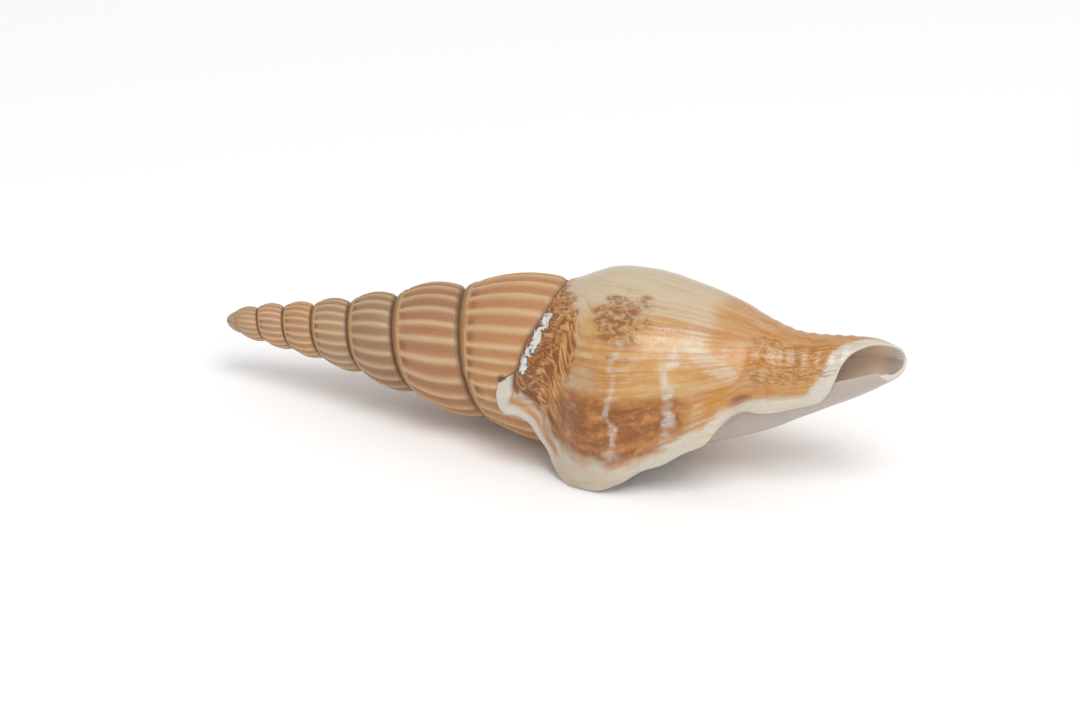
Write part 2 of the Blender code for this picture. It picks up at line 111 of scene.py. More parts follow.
# The hollow inside the last half turn
CORE_SHRINK = 0.30          # how much thinner the core gets away from the mouth
MOUTH_CORNER = (1.3, 0.45)  # the hollow's back corner, forward of and below the seam
CREVICE = 0.5               # least gap between the wall and what it closes over
THIN_WALL = 0.35            # least thickness of the wall
ROW_SPREAD = 1.2            # above 1, the last whorl's rows crowd toward the seam
CORE_TO_CANAL = 0.40        # share of the core's length where it starts to become the canal's floor

# The photograph's view: degrees round, above and along the shell, then millimetres
VIEW_SWING, VIEW_RISE, VIEW_PITCH = 20, 26, 2.848       # the pitch comes from the same fit
VIEW_CENTRE = 45.5          # place on the axis that the camera looks at
VIEW_DISTANCE = 450
VIEW_SHIFT = (2.24, 0.59)   # how far the camera stands left of and below that line
LENS = 119.1
SENSOR = 36

# Looks shared by several functions
MM_PER_DEGREE = 0.21        # width of a degree on the last whorl, for painted marks
LEAST_WHORL = 1.2           # shortest and longest whorl that the relief is scaled to
LAST_WHORL = 10.2
FAR = 99.0                  # a distance that no mark reaches
FLOOR_REACH = 6.0           # metres from the middle of the floor to its side
FLOOR_SHADE = (0.97, 0.97, 0.97, 1)
WORLD_STRENGTH = 0.68


def smooth(value):
    """Ease from 0 to 1."""
    value = np.clip(value, 0.0, 1.0)
    return value * value * (3.0 - 2.0 * value)


def curve_through(points):
    """A smooth curve through the points that never overshoots them (Fritsch and Carlson's slopes)."""
    place, height = np.array(points, float).T
    step = np.diff(place)
    slope = np.diff(height) / step
    tangent = np.empty_like(height)
    tangent[0], tangent[-1] = slope[0], slope[-1]
    for i in range(1, len(place) - 1):
        if slope[i - 1] * slope[i] <= 0:
            tangent[i] = 0.0
        else:
            before, after = 2 * step[i] + step[i - 1], step[i] + 2 * step[i - 1]
            tangent[i] = (before + after) / (before / slope[i - 1] + after / slope[i])

    def curve(x):
        x = np.asarray(x, float)
        i = np.clip(np.searchsorted(place, x, side="right") - 1, 0, len(step) - 1)
        t = np.clip((x - place[i]) / step[i], 0.0, 1.0)
        inside = ((2 * t**3 - 3 * t**2 + 1) * height[i] + (t**3 - 2 * t**2 + t) * step[i] * tangent[i]
                  + (3 * t**2 - 2 * t**3) * height[i + 1] + (t**3 - t**2) * step[i] * tangent[i + 1])
        return inside + np.minimum(x - place[0], 0) * tangent[0] + np.maximum(x - place[-1], 0) * tangent[-1]

    return curve


seam_place = curve_through(SEAM_PLACE)
seam_radius = curve_through(SEAM_RADIUS)
whorl_bulge = curve_through(WHORL_BULGE)
bend_at = curve_through(BEND)
rim_place = curve_through(RIM)
mouth_side = curve_through(OUTLINES[-360])


def axis_offset(x):
    """The bent axis, as its distance to the side and up from the straight one."""
    bend = np.where(x > BEND[0][0], bend_at(x), 0.0)
    angle = math.radians(BEND_ANGLE)
    return -math.cos(angle) * bend, -math.sin(angle) * bend


def place_points(angle, x, radius):
    """Points at a growth angle (degrees), a place along the axis and a radius from it."""
    side, up = axis_offset(x)
    angle = np.radians(angle)
    return np.stack(np.broadcast_arrays(x, side - np.cos(angle) * radius, up - np.sin(angle) * radius), -1)


def spire_radius(whorl, x):
    """Radius of the skin between one seam and the next, with the whorl's swelling."""
    start, end = seam_place(whorl), seam_place(whorl + 1)
    across = (x - start) / (end - start)
    straight = seam_radius(start) + (seam_radius(end) - seam_radius(start)) * across
    return straight + whorl_bulge(whorl) * (end - start) * 4 * across * (1 - across)


def outline_share(seam, x):
    """Place as a share: 0 at the seam, 1 at the shoulder, 2 at the front."""
    return np.where(x < SHOULDER, (x - seam) / (SHOULDER - seam), 1 + (x - SHOULDER) / (FRONT - SHOULDER))


def outline_curves():
    """Each outline of the last whorl as a curve over the share of its length."""
    curves = {}
    for angle, points in OUTLINES.items():
        seam = float(seam_place(angle / 360.0))
        if angle == -360:
            continue
        points = ((seam, float(seam_radius(seam))),) + points
        curves[angle] = curve_through([(float(outline_share(seam, x)), radius) for x, radius in points])

    def first(share, seam=float(seam_place(-1.0)), covered=float(seam_place(0.0))):
        x = np.where(share < 1, seam + share * (SHOULDER - seam), SHOULDER + (share - 1) * (FRONT - SHOULDER))
        ribbed = spire_radius(-1.0, np.minimum(x, covered))
        return np.where(x < covered, ribbed, mouth_side(np.maximum(x, covered)))

    curves[-360] = first
    return curves


CURVES = outline_curves()


def body_radius(seam, angle, x):
    """Radius of the last whorl before its lip flares, eased from one outline to the next."""
    share = outline_share(seam, x)
    keys = np.array(sorted(CURVES), float)
    values = np.array([CURVES[int(key)](share) for key in keys])
    angle = np.clip(angle, keys[0], keys[-1]) + 0 * share
    i = np.clip(np.searchsorted(keys, angle, side="right") - 1, 0, len(keys) - 2)

    def at(offset):
        index = np.clip(i + offset, 0, len(keys) - 1)
        return keys[index], np.take_along_axis(values, index[None, ...], 0)[0]

    (k0, v0), (k1, v1), (k2, v2), (k3, v3) = at(-1), at(0), at(1), at(2)
    span = k2 - k1
    start_slope = (v2 - v0) / (k2 - k0) * span
    end_slope = (v3 - v1) / (k3 - k1) * span
    t = (angle - k1) / span
    return ((2 * t**3 - 3 * t**2 + 1) * v1 + (t**3 - 2 * t**2 + t) * start_slope
            + (3 * t**2 - 2 * t**3) * v2 + (t**3 - t**2) * end_slope)


def lip_curves():
    """The lip edge's angle and radius about the bent axis, as curves over its place."""
    x, angle, radius = np.array(LIP_EDGE, float).T
    side, up = axis_offset(x)
    y = -np.cos(np.radians(angle)) * radius - side
    z = -np.sin(np.radians(angle)) * radius - up
    return (curve_through(np.stack([x, np.degrees(np.arctan2(-z, -y))], 1)),
            curve_through(np.stack([x, np.hypot(y, z)], 1)))


lip_angle, lip_radius = lip_curves()


def flare_share(angle, x):
    """How far the last whorl has flared toward its lip's edge: 0 before the flare, 1 at the edge."""
    return np.clip((angle - FLARE_START) / (lip_angle(x) - FLARE_START), 0, 1)**2


def skin_radius(angle, x):
    """Outside radius of the last whorl at any growth angle short of the lip."""
    seam = seam_place(np.minimum(angle, 0) / 360)
    at_edge = body_radius(float(seam_place(0)) + 0 * seam, lip_angle(x), x)
    return body_radius(seam, angle, x) + (lip_radius(x) - at_edge) * flare_share(angle, x)


def covered_radius(angle, x):
    """Radius of the start of the last whorl, where its end comes round over it."""
    below = np.maximum(angle - 360, -360.0)
    return body_radius(seam_place(below / 360), below, x)


def mouth_corner(angle):
    """Back corner of the hollow: its place and radius."""
    deep = smooth(-angle / 25)
    seam = seam_place(angle / 360)
    return seam + MOUTH_CORNER[0] * deep, seam_radius(seam) - MOUTH_CORNER[1] * deep


def pillar_radius(angle, x):
    """Radius of the core behind the mouth, kept under the wall where the two come close."""
    corner_x, corner_radius = mouth_corner(np.minimum(angle, 0))
    mouth_end = float(rim_place(-360))
    along = np.clip((x - corner_x) / (mouth_end - corner_x), 0, 1)
    mouth_start = float(seam_place(0))
    depth = smooth(-angle / 150)
    radius = mouth_side(mouth_start + (mouth_end - mouth_start) * along)
    radius = radius * (1 - CORE_SHRINK * depth * smooth(along / 0.15) - 0.10 * depth)
    radius = np.minimum(radius, skin_radius(angle, x) - THIN_WALL - CREVICE)
    leave = smooth(along / 0.04)
    return (1 - leave) * corner_radius + leave * radius


def wave(x, y, seed):
    """Smooth value noise from 0 to 1 over a plane, the same on every run."""
    def corner(i, j):
        value = np.sin(i * 127.1 + j * 311.7 + seed * 74.7) * 43758.5453
        return value - np.floor(value)

    i, j = np.floor(x), np.floor(y)
    u, v = smooth(x - i), smooth(y - j)
    near = corner(i, j) * (1 - u) + corner(i + 1, j) * u
    far = corner(i, j + 1) * (1 - u) + corner(i + 1, j + 1) * u
    return near * (1 - v) + far * v


def fractal(x, y, seed):
    """Three sizes of the noise together."""
    return (wave(x, y, seed) * 0.55 + wave(x * 2.1, y * 2.1, seed + 1) * 0.3
            + wave(x * 4.3, y * 4.3, seed + 2) * 0.15)


# Ribs: whorl number against how many ribs have grown, counted from the last shoulder
RIBS = curve_through(((-8, -142), (-6.16, -106), (-4.16, -65), (-3.16, -44), (-2.161, -23), (-2.079, -21),
                      (-1.979, -19), (-1.196, 0), (-1.115, 2), (-1.077, 3), (-1.019, 5), (-0.75, 13),
                      (-0.4, 21)))
CORD_SHARE = 0.146          # width of the cord along the seam, as a share of its whorl's length
FOLD_WIDTH = 2.3            # width of the folded rim at the lip's back end


def whorl_span(whorl):
    """Where a whorl starts and ends along the axis, and the length its ribs and cord are scaled to."""
    start, end = seam_place(whorl), seam_place(np.minimum(whorl + 1, 0))
    return start, end, np.where(whorl > -1, LAST_WHORL, np.clip(end - start, LEAST_WHORL, LAST_WHORL))


def relief(whorl, x, edge, edge_x, angle=-360.0):
    """Height of the ribs, the cord, the seam groove and the folded rim over the plain form."""
    start, end, length = whorl_span(whorl)
    from_start, from_end = x - start, np.where(whorl > -1, FAR, end - x)
    early = 1 - smooth((whorl + 0.95) / 0.35)
    tip = smooth((whorl + 7.3) / 1.0)
    groove = 0.028 * length * (1 - 0.7 * smooth((whorl + 0.75) / 0.45)) * tip
    height = -groove * np.exp(-(from_start / (0.035 * length))**2)
    height = height - 0.028 * length * np.exp(-(from_end / (0.030 * length))**2) * smooth((whorl + 8.3) / 1.0)
    along = from_start / (CORD_SHARE * length)
    cord = smooth(along / 0.35) * (0.65 + 0.35 * smooth((along - 0.5) / 0.3))
    cord = cord * (1 - smooth((along - 0.9) / 0.2))
    height = height + 0.024 * length * cord * (1 - smooth((whorl + 0.75) / 0.45))
    crest = ((1 + np.cos(2 * math.pi * RIBS(whorl))) / 2)**1.7
    zone = smooth((along - 1.0) / 0.3) * smooth(from_end / (0.10 * length))
    on_body = np.where(whorl > -1, 1 - smooth((x - 48) / 14), 1.0)
    height = height + 0.034 * length * (crest - 0.35) * zone * early * tip * on_body
    fold = smooth((edge_x - 41) / 0.8) * (1 - smooth((edge_x - 47.5) / 3.0)) * smooth(from_start / 1.0)
    height = height + fold * (0.60 * np.exp(-((edge - 0.9) / 0.95)**4)
                              - 0.45 * np.exp(-((edge - FOLD_WIDTH - 0.5) / 0.6)**2))
    knob = np.exp(-((edge_x - 42.6) / 1.5)**2) * np.exp(-(edge / 1.9)**4) * smooth(from_start / 0.8)
    height = height + 0.55 * knob
    front = smooth((x - 70) / 4) * (1 - smooth((x - 83) / 3)) * smooth(edge / 3.0)
    front = front * smooth((angle + 190) / 40)
    return height + front * 0.07 * np.cos(2 * math.pi * x / 1.6)


def color(red, green, blue):
    """A colour as seen on screen, as the light it sends back."""
    value = np.array([red, green, blue]) / 255
    return np.where(value <= 0.04045, value / 12.92, ((value + 0.055) / 1.055)**2.4)


CREAM = color(198, 180, 150)
WHITE = color(206, 198, 184)
YELLOW_TAN = color(196, 154, 94)
ORANGE = color(188, 127, 54)
DEEP_ORANGE = color(130, 72, 18)
BROWN = color(142, 84, 32)
DARK_BROWN = color(104, 62, 26)
GREY = color(176, 152, 126)
# The columella's white, darkened with painted shade for where it faces down under the lip
COLUMELLA_AND_PAINTED_SHADE = color(180, 168, 157)
INNER = color(234, 218, 204)
DEEP_CANAL = color(240, 218, 196)
NUB = color(172, 146, 116)
RIB_SPOT = color(122, 80, 34)
CORD = color(156, 114, 70)
CORD_RIDGE = color(204, 164, 112)
FOLD_SHADOW = color(60, 36, 16)
GROOVE = color(88, 62, 36)
FOLD_STREAK = color(170, 112, 50)
GROWTH_LINE = color(170, 108, 50)
DARK_MARK = color(118, 64, 20)
LIGHT_MARK = color(208, 172, 128)
STRIA = color(120, 84, 52)
SPECK = color(150, 108, 68)
CHIP_EDGE = color(92, 84, 78)
CHIP_WHITE = color(216, 211, 204)
# Whorl number against the colours between its ribs and on their crests. They were chosen near
# averages of small spots of the photograph, and then adjusted to the render
SPIRE_COLORS = ((-8.0, (172, 138, 104), (186, 156, 122)), (-7.2, (178, 138, 102), (200, 170, 136)),
                (-6.5, (170, 128, 98), (204, 174, 144)), (-5.5, (184, 136, 92), (212, 174, 130)),
                (-4.5, (166, 130, 94), (206, 176, 136)), (-3.5, (152, 126, 94), (190, 168, 134)),
                (-2.5, (156, 108, 74), (200, 168, 134)), (-1.5, (184, 130, 84), (212, 176, 132)),
                (-0.9, (182, 128, 80), (208, 174, 130)))


def layer(base, paint, amount):
    """Paint over a base, by amount."""
    return base * (1 - amount[..., None]) + paint * amount[..., None]


def between(value, low, high, soft):
    """1 between low and high, with soft ends."""
    return smooth((value - low) / soft + 0.5) * smooth((high - value) / soft + 0.5)


def spot(side, x, place, size, rough=0.0, noise=0.5):
    """A soft round mark at (angle, place); side and x are in millimetres on the skin."""
    away = np.hypot((side - place[0] * MM_PER_DEGREE) / size[0], (x - place[1]) / size[1])
    return 1 - smooth((away + (noise - 0.5) * rough - 0.6) / 0.6)


def stroke(side, x, points, width, ragged):
    """A ragged line through points given as (angle, place)."""
    away = np.full(np.broadcast(side, x).shape, FAR)
    for (a0, x0), (a1, x1) in zip(points, points[1:]):
        from_side, u, v = side - a0 * MM_PER_DEGREE, (a1 - a0) * MM_PER_DEGREE, x1 - x0
        t = np.clip((from_side * u + (x - x0) * v) / (u * u + v * v), 0, 1)
        away = np.minimum(away, np.hypot(from_side - t * u, x - x0 - t * v))
    return 1 - smooth((away - width * (0.4 + 1.2 * ragged)) / 0.35 + 0.5)


# Angle against the place where the mottling ends; place against the angle where the pale margin
# starts; and the chip's points as (angle, place)
MOTTLE_EDGE = curve_through(((-180, 52), (-82.8, 47.5), (-66.3, 49.9), (-49.1, 51.3), (-25.2, 51.9),
                             (-14, 51.2), (-1.7, 50.0), (40, 48.5)))
MARGIN = curve_through(((44, 33), (48.8, 29.9), (52.9, 24), (56.2, 23), (60.7, 23.4), (63.2, 18.7),
                        (65.6, 12.3), (67.8, 10.8), (70.1, 3.6), (73.9, 4.0), (78.7, 6), (82, -12)))
CHIP = ((-56.6, 46.6), (-50.6, 46.4), (-48, 46.6), (-44, 45.8), (-35.5, 45.9), (-28.8, 45.4), (-22.7, 44.4),
        (-16, 44.7), (-13.5, 44.2))


def spire_paint(whorl, x):
    """Colour of the ribbed whorls."""
    start, end, length = whorl_span(whorl)
    along = (x - start) / (CORD_SHARE * length)
    keys = np.array([row[0] for row in SPIRE_COLORS])
    low = np.array([color(*row[1]) for row in SPIRE_COLORS])
    high = np.array([color(*row[2]) for row in SPIRE_COLORS])
    low = np.stack([np.interp(whorl, keys, low[:, i]) for i in range(3)], -1)
    high = np.stack([np.interp(whorl, keys, high[:, i]) for i in range(3)], -1)
    phase = RIBS(whorl)
    crest = ((1 + np.cos(2 * math.pi * phase)) / 2)**2.4
    patch = fractal(phase * 0.55, x * 0.16, 3)
    base = layer(low, high, np.clip(crest * 1.05, 0, 1))
    base = base * (0.80 + 0.26 * patch)[..., None]
    rib_zone = smooth((along - 1.0) / 0.2)
    dark_spot = rib_zone * (1 - smooth((along - 1.15) / 0.9)) * (1 - crest)**1.5
    uneven = smooth((wave(phase, 0 * x, 9) - 0.2) / 0.5)
    base = layer(base, RIB_SPOT, 0.9 * dark_spot * uneven)
    cord = 1 - smooth((along - 0.95) / 0.1)
    base = layer(base, CORD, cord * 0.9)
    base = layer(base, CORD_RIDGE, np.exp(-((along - 0.88) / 0.11)**2) * 0.75)
    shadow = spot((whorl + 1) * 360 * MM_PER_DEGREE, x, (-3.0, 41.5), (0.9, 0.7), 0.4)
    base = layer(base, FOLD_SHADOW, shadow * 0.9)
    groove = np.exp(-((x - start) / (0.045 * length))**2)
    groove = np.maximum(groove, np.where(whorl > -1, 0, np.exp(-((end - x) / (0.035 * length))**2)))
    return layer(base, GROOVE, groove * 0.9)


def body_paint(whorl, angle, x, edge, edge_x):
    """Colour of the last whorl, and the amounts of mottling and of growth lines on it."""
    side = angle * MM_PER_DEGREE
    at_lip = smooth((angle + 60) / 20)
    drift = fractal(side * 0.35, x * 0.30, 21) - 0.5
    grain = fractal(side * 1.7, x * 0.45, 33)
    warp_x, warp_side = x + 2.2 * drift, side + 2.0 * (fractal(side * 0.4, x * 0.4, 41) - 0.5)
    back = 1 - smooth((angle + 150) / 50)
    base = CREAM + 0 * x[..., None]
    tan = between(warp_side, -11.5, 12, 3.0) * between(warp_x, 52, 70, 2.5)
    base = layer(base, YELLOW_TAN, tan * smooth((grain - 0.16) / 0.35) * 0.95)
    amber = between(warp_side, -7.5, 12, 3.0) * between(warp_x, 50, 69, 2.5)
    base = layer(base, ORANGE, amber * smooth((fractal(side * 1.1, x * 0.5, 37) - 0.44) / 0.22) * 0.6)
    base = layer(base, GREY, spot(side, x, (-15, 53.6), (2.0, 2.6), 0.8, grain) * 0.55)
    white_top = spot(side, x, (-84, 57), (5.0, 9.0), 1.0, grain)
    base = layer(base, CREAM, np.clip(white_top, 0, 1) * 0.85)
    deep = between(warp_side, -1.8, 5.0, 1.8) * between(warp_x, 48.5, 66.0, 1.8)
    base = layer(base, ORANGE, np.clip(deep * 1.1, 0, 1))
    base = layer(base, DEEP_ORANGE, deep * smooth((grain - 0.22) / 0.3) * 0.9)
    right = smooth((warp_x - 66.5) / 3.0) * smooth((4.5 - side) / 2.0)
    base = layer(base, ORANGE, right * (0.60 + 0.4 * smooth((grain - 0.35) / 0.3)))
    pale = stroke(side, x, ((-62, 66.8), (-41, 66), (-23, 70.4)), 1.2, grain)
    base = layer(base, CREAM, pale * 0.75)
    base = layer(base, YELLOW_TAN, right * spot(side, x, (-20, 78), (5.0, 3.6), 1.0, grain) * 0.5)
    base = layer(base, DEEP_ORANGE, spot(side, x, (-1, 71.9), (1.3, 1.2), 0.7, grain) * 0.9)
    for place, width in ((57.6, 0.36), (64.0, 0.42)):
        band = between(x + 2.6 * (fractal(side * 0.8, x * 0.8, 51) - 0.5), place - width, place + width, 0.7)
        band = band * between(side, -8.0, 4.2, 1.2) * smooth((fractal(side * 1.2, x * 0.3, 57) - 0.25) / 0.2)
        base = layer(base, WHITE, band * 0.8)
    net = spot(side, x, (-49, 57.3), (4.0, 3.8), 1.2, grain)
    base = layer(base, BROWN, net * 0.45)
    zone_edge = MOTTLE_EDGE(angle) + 2.6 * (grain - 0.5)
    mottled = smooth((zone_edge - x) / 1.2 + 0.5) * (1 - back)
    base = layer(base, ORANGE, mottled * 0.95)
    base = layer(base, BROWN, mottled * smooth((zone_edge - 1.0 - x) / 3) * 0.7)
    behind = YELLOW_TAN * 0.45 + ORANGE * 0.55
    base = layer(base, behind, back)
    base = layer(base, CREAM, back * smooth((fractal(side * 0.5, x * 0.22, 63) - 0.5) / 0.12) * 0.7)
    base = layer(base, DEEP_ORANGE, back * smooth((fractal(side * 0.9, x * 0.3, 67) - 0.55) / 0.12) * 0.5)
    early = 1 - smooth((whorl + 0.93) / 0.22)
    early = early * (1 - smooth((x - 52) / 10))
    base = layer(base, spire_paint(whorl, x), early)
    margin = smooth((angle - MARGIN(x)) * MM_PER_DEGREE / 2.2 + 0.45 + 1.1 * (grain - 0.5))
    margin = np.maximum(margin, 1 - smooth((edge - 1.3) / 0.6)) * at_lip
    # The margin's white gets darker toward the back of the lip, below place 62: painted shade on the lower
    # lip. The warm tint is its own colour.
    lip_white_with_painted_shade = WHITE * (1 - 0.16 * smooth((62 - x) / 10))[..., None] * np.array([1.0, 0.985, 0.95])
    base = base * (1 - margin[..., None]) + lip_white_with_painted_shade * margin[..., None]
    base = layer(base, YELLOW_TAN, margin * smooth((fractal(side * 2.2, x * 0.16, 83) - 0.5) / 0.2) * 0.35)
    fold = (1 - smooth((edge - FOLD_WIDTH) / 0.4)) * (1 - smooth((edge_x - 47.8) / 1.5)) * at_lip
    streak = np.exp(-((edge - 1.7) / 0.42)**2) * smooth((edge_x - 42) / 1.0)
    base = layer(base, WHITE, fold)
    base = layer(base, FOLD_STREAK, fold * streak * 0.95)
    rut = np.exp(-((edge - FOLD_WIDTH - 0.45) / 0.35)**2) * (1 - smooth((edge_x - 46.5) / 1.0))
    base = layer(base, DARK_BROWN, rut * 0.85 * smooth((angle + 45) / 15))
    canal_rim = smooth((x - rim_place(np.clip(angle, -360, 0)) + 1.6) / 0.8)
    base = layer(base, WHITE, canal_rim * (1 - 0.5 * back))
    # The callus and the underside of the canal get the grey columella colour: their white darkened with
    # painted shade where they face down
    under = 1 - smooth((angle + 300) / 35)
    callus_and_painted_shade = under * smooth((x - 46.0) / 2.5)
    base = layer(base, COLUMELLA_AND_PAINTED_SHADE, callus_and_painted_shade)
    under_canal_and_painted_shade = smooth((x - 66) / 6) * (1 - smooth((angle + 290) / 40))
    base = layer(base, COLUMELLA_AND_PAINTED_SHADE, under_canal_and_painted_shade)
    plain = (1 - margin) * (1 - callus_and_painted_shade) * (1 - fold)
    right_net = between(side, -14, -2.5, 2) * between(x, 72.5, 82, 1.8)
    mottle = np.clip(mottled + 0.75 * net + 0.55 * right_net + 0.35 * deep, 0, 1) * plain
    lines = (0.35 + 0.65 * tan + 0.5 * deep + 0.4 * right) * plain * (1 - early)
    return base, mottle, np.clip(lines, 0, 1)


def rest_turn():
    """How the grown shape is turned to lie at rest."""
    roll = Matrix.Rotation(math.radians(REST_ROLL), 3, "X")
    return roll @ Matrix.Rotation(math.radians(-REST_PITCH), 3, "Y")


class Skin:
    """Collects points, their looks and faces. Points that fall together are joined by their numbers."""

    def __init__(self):
        self.blocks, self.looks, self.faces, self.joined = [], [], [], {}
        self.count = 0

    def add(self, points, paint, grow, x, mottle=0.0, lines=0.0, striae=0.0, gloss=0.5, chip=0.0):
        shape = points.shape[:-1]
        self.blocks.append(points.reshape(-1, 3))
        scalars = [np.broadcast_to(v, shape) for v in (grow, x, mottle, lines, striae, gloss, chip)]
        looks = np.concatenate([np.broadcast_to(paint, shape + (3,)), np.stack(scalars, -1)], -1)
        self.looks.append(looks.reshape(-1, 10))
        numbers = self.count + np.arange(int(np.prod(shape))).reshape(shape)
        self.count += numbers.size
        return numbers

    def points(self):
        return np.concatenate(self.blocks)

    def join(self, numbers, others):
        for number, other in zip(np.ravel(numbers), np.ravel(others)):
            self.joined[int(number)] = int(other)

    def grid(self, numbers, flip=False):
        quads = np.stack([numbers[:-1, :-1], numbers[1:, :-1], numbers[1:, 1:], numbers[:-1, 1:]], -1)
        quads = quads.reshape(-1, 4)
        self.faces.extend(map(tuple, (quads[:, ::-1] if flip else quads).tolist()))

    def zipper(self, left, right):
        """Triangles between two rows of points of different counts."""
        i = j = 0
        while i < len(left) - 1 or j < len(right) - 1:
            next_left = (i + 1) / (len(left) - 1) if i < len(left) - 1 else 2.0
            next_right = (j + 1) / (len(right) - 1) if j < len(right) - 1 else 2.0
            if next_left <= next_right:
                self.faces.append((int(left[i]), int(right[j]), int(left[i + 1])))
                i += 1
            else:
                self.faces.append((int(left[i]), int(right[j]), int(right[j + 1])))
                j += 1

    def place_of(self, number):
        while number in self.joined:
            number = self.joined[number]
        return number


def rounded_edge(skin, outer, inner, direction):
    """Rows that round the thickness between an outer and an inner edge."""
    points = skin.points()
    ends = np.vectorize(skin.place_of)
    a, b = points[ends(outer)], points[ends(inner)]
    middle, half = (a + b) / 2, (a - b) / 2
    reach = np.linalg.norm(half, axis=1, keepdims=True)
    rows = [outer]
    for step in range(1, EDGE_STEPS):
        turn = math.pi * step / EDGE_STEPS
        row = skin.add(middle + half * math.cos(turn) + direction * reach * math.sin(turn), WHITE,
                       0.0, 0.0, gloss=0.7)
        rows.append(row)
    rows.append(inner)
    return np.array(rows)


def unit(vectors):
    """The vectors at length 1."""
    return vectors / np.maximum(np.linalg.norm(vectors, axis=-1, keepdims=True), 1e-9)


def row_shares():
    """How far along its column each row lies: on the spire, and on the first and last body columns."""
    even = np.linspace(0, 1, SEAM_ROWS + 1)
    across = even - 0.08 * np.sin(2 * math.pi * even)       # closer together near the seams
    start, covered, end = float(seam_place(-1)), float(seam_place(0)), float(rim_place(-360))
    split = (covered - start) / (end - start)
    onward = np.linspace(0, 1, BODY_ROWS + 1)[1:]
    first = np.concatenate([split * across, split + (1 - split) * onward])
    return across, first, np.linspace(0, 1, SEAM_ROWS + BODY_ROWS + 1)


def edge_distance(points, edge_points, edge_x):
    """Distance of each point to the lip's edge, and the place along the axis of the nearest point on it."""
    flat = points.reshape(-1, 3)
    away = np.linalg.norm(flat[:, None, :] - edge_points[None, :, :], axis=2)
    nearest = away.argmin(1)
    shape = points.shape[:-1]
    return away.min(1).reshape(shape), edge_x[nearest].reshape(shape)


def add_tip(skin, strip):
    """Rings that close the spire in a blunt tip."""
    loop = np.concatenate([strip[:COLUMNS_PER_TURN + 1, 0], strip[0, SEAM_ROWS - 1:0:-1]])
    points = skin.points()[loop]
    tip = np.array([points[:, 0].min() - 0.35, 0.0, 0.0])
    rings = [loop]
    for inward, forward in TIP_RINGS:
        ring = points * (1 - inward)
        ring[:, 0] = points[:, 0] + (tip[0] - points[:, 0]) * forward
        rings.append(skin.add(ring, NUB, 0.0, ring[:, 0], gloss=0.3))
    rings.append(np.repeat(skin.add(tip[None, :], NUB, 0.0, 0.0, gloss=0.3), len(loop)))
    rings = np.array(rings)
    skin.grid(np.concatenate([rings, rings[:, :1]], 1))


